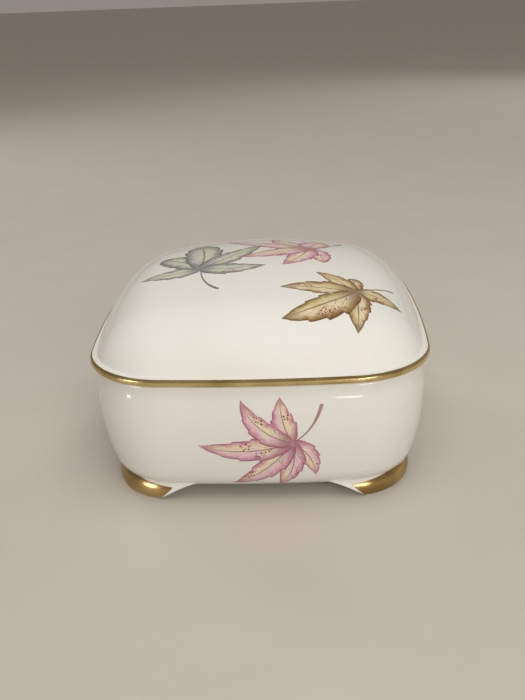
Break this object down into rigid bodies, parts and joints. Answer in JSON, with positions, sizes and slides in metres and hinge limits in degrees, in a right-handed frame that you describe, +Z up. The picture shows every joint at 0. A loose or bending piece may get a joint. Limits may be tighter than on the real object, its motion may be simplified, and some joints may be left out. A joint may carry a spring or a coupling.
{
  "type": "porcelain trinket box",
  "caption": "Rounded-square glazed porcelain trinket box with a crowned lift-off lid, gilded rim, bracket feet and maple-leaf transfers.",
  "frame": {"origin": "centre of the plan, on the surface that the feet stand on", "axes": "+Z up, which is also the way the lid lifts; -Y is the decorated front; +X is to the right seen from the front"},
  "size_m": [0.1102, 0.1102, 0.0649],
  "materials": {
    "porcelain": "clear gloss glaze over warm white porcelain",
    "gilding": "burnished gold, thin brush-applied film",
    "pink_transfer": "rose-pink leaf printed under gloss",
    "grey_transfer": "slate-grey and cream leaf printed under gloss",
    "gold_brown_transfer": "golden-brown and cream leaf printed under gloss"
  },
  "bodies": {
    "base": {"base_body": "porcelain", "front_left_foot": "porcelain", "front_right_foot": "porcelain", "back_left_foot": "porcelain", "back_right_foot": "porcelain", "front_left_foot_gilding": "gilding", "front_right_foot_gilding": "gilding", "back_left_foot_gilding": "gilding", "back_right_foot_gilding": "gilding", "front_leaf": "pink_transfer"},
    "lid": {"lid": "porcelain", "lid_rim_gilding": "gilding", "lid_leaf_grey": "grey_transfer", "lid_leaf_pink": "pink_transfer", "lid_leaf_gold": "gold_brown_transfer"}
  },
  "joints": [
    {"name": "lid_lift", "type": "slide", "parent": "base", "child": "lid", "axis": [0, 0, 1], "range_m": [0, 0.06]}
  ]
}
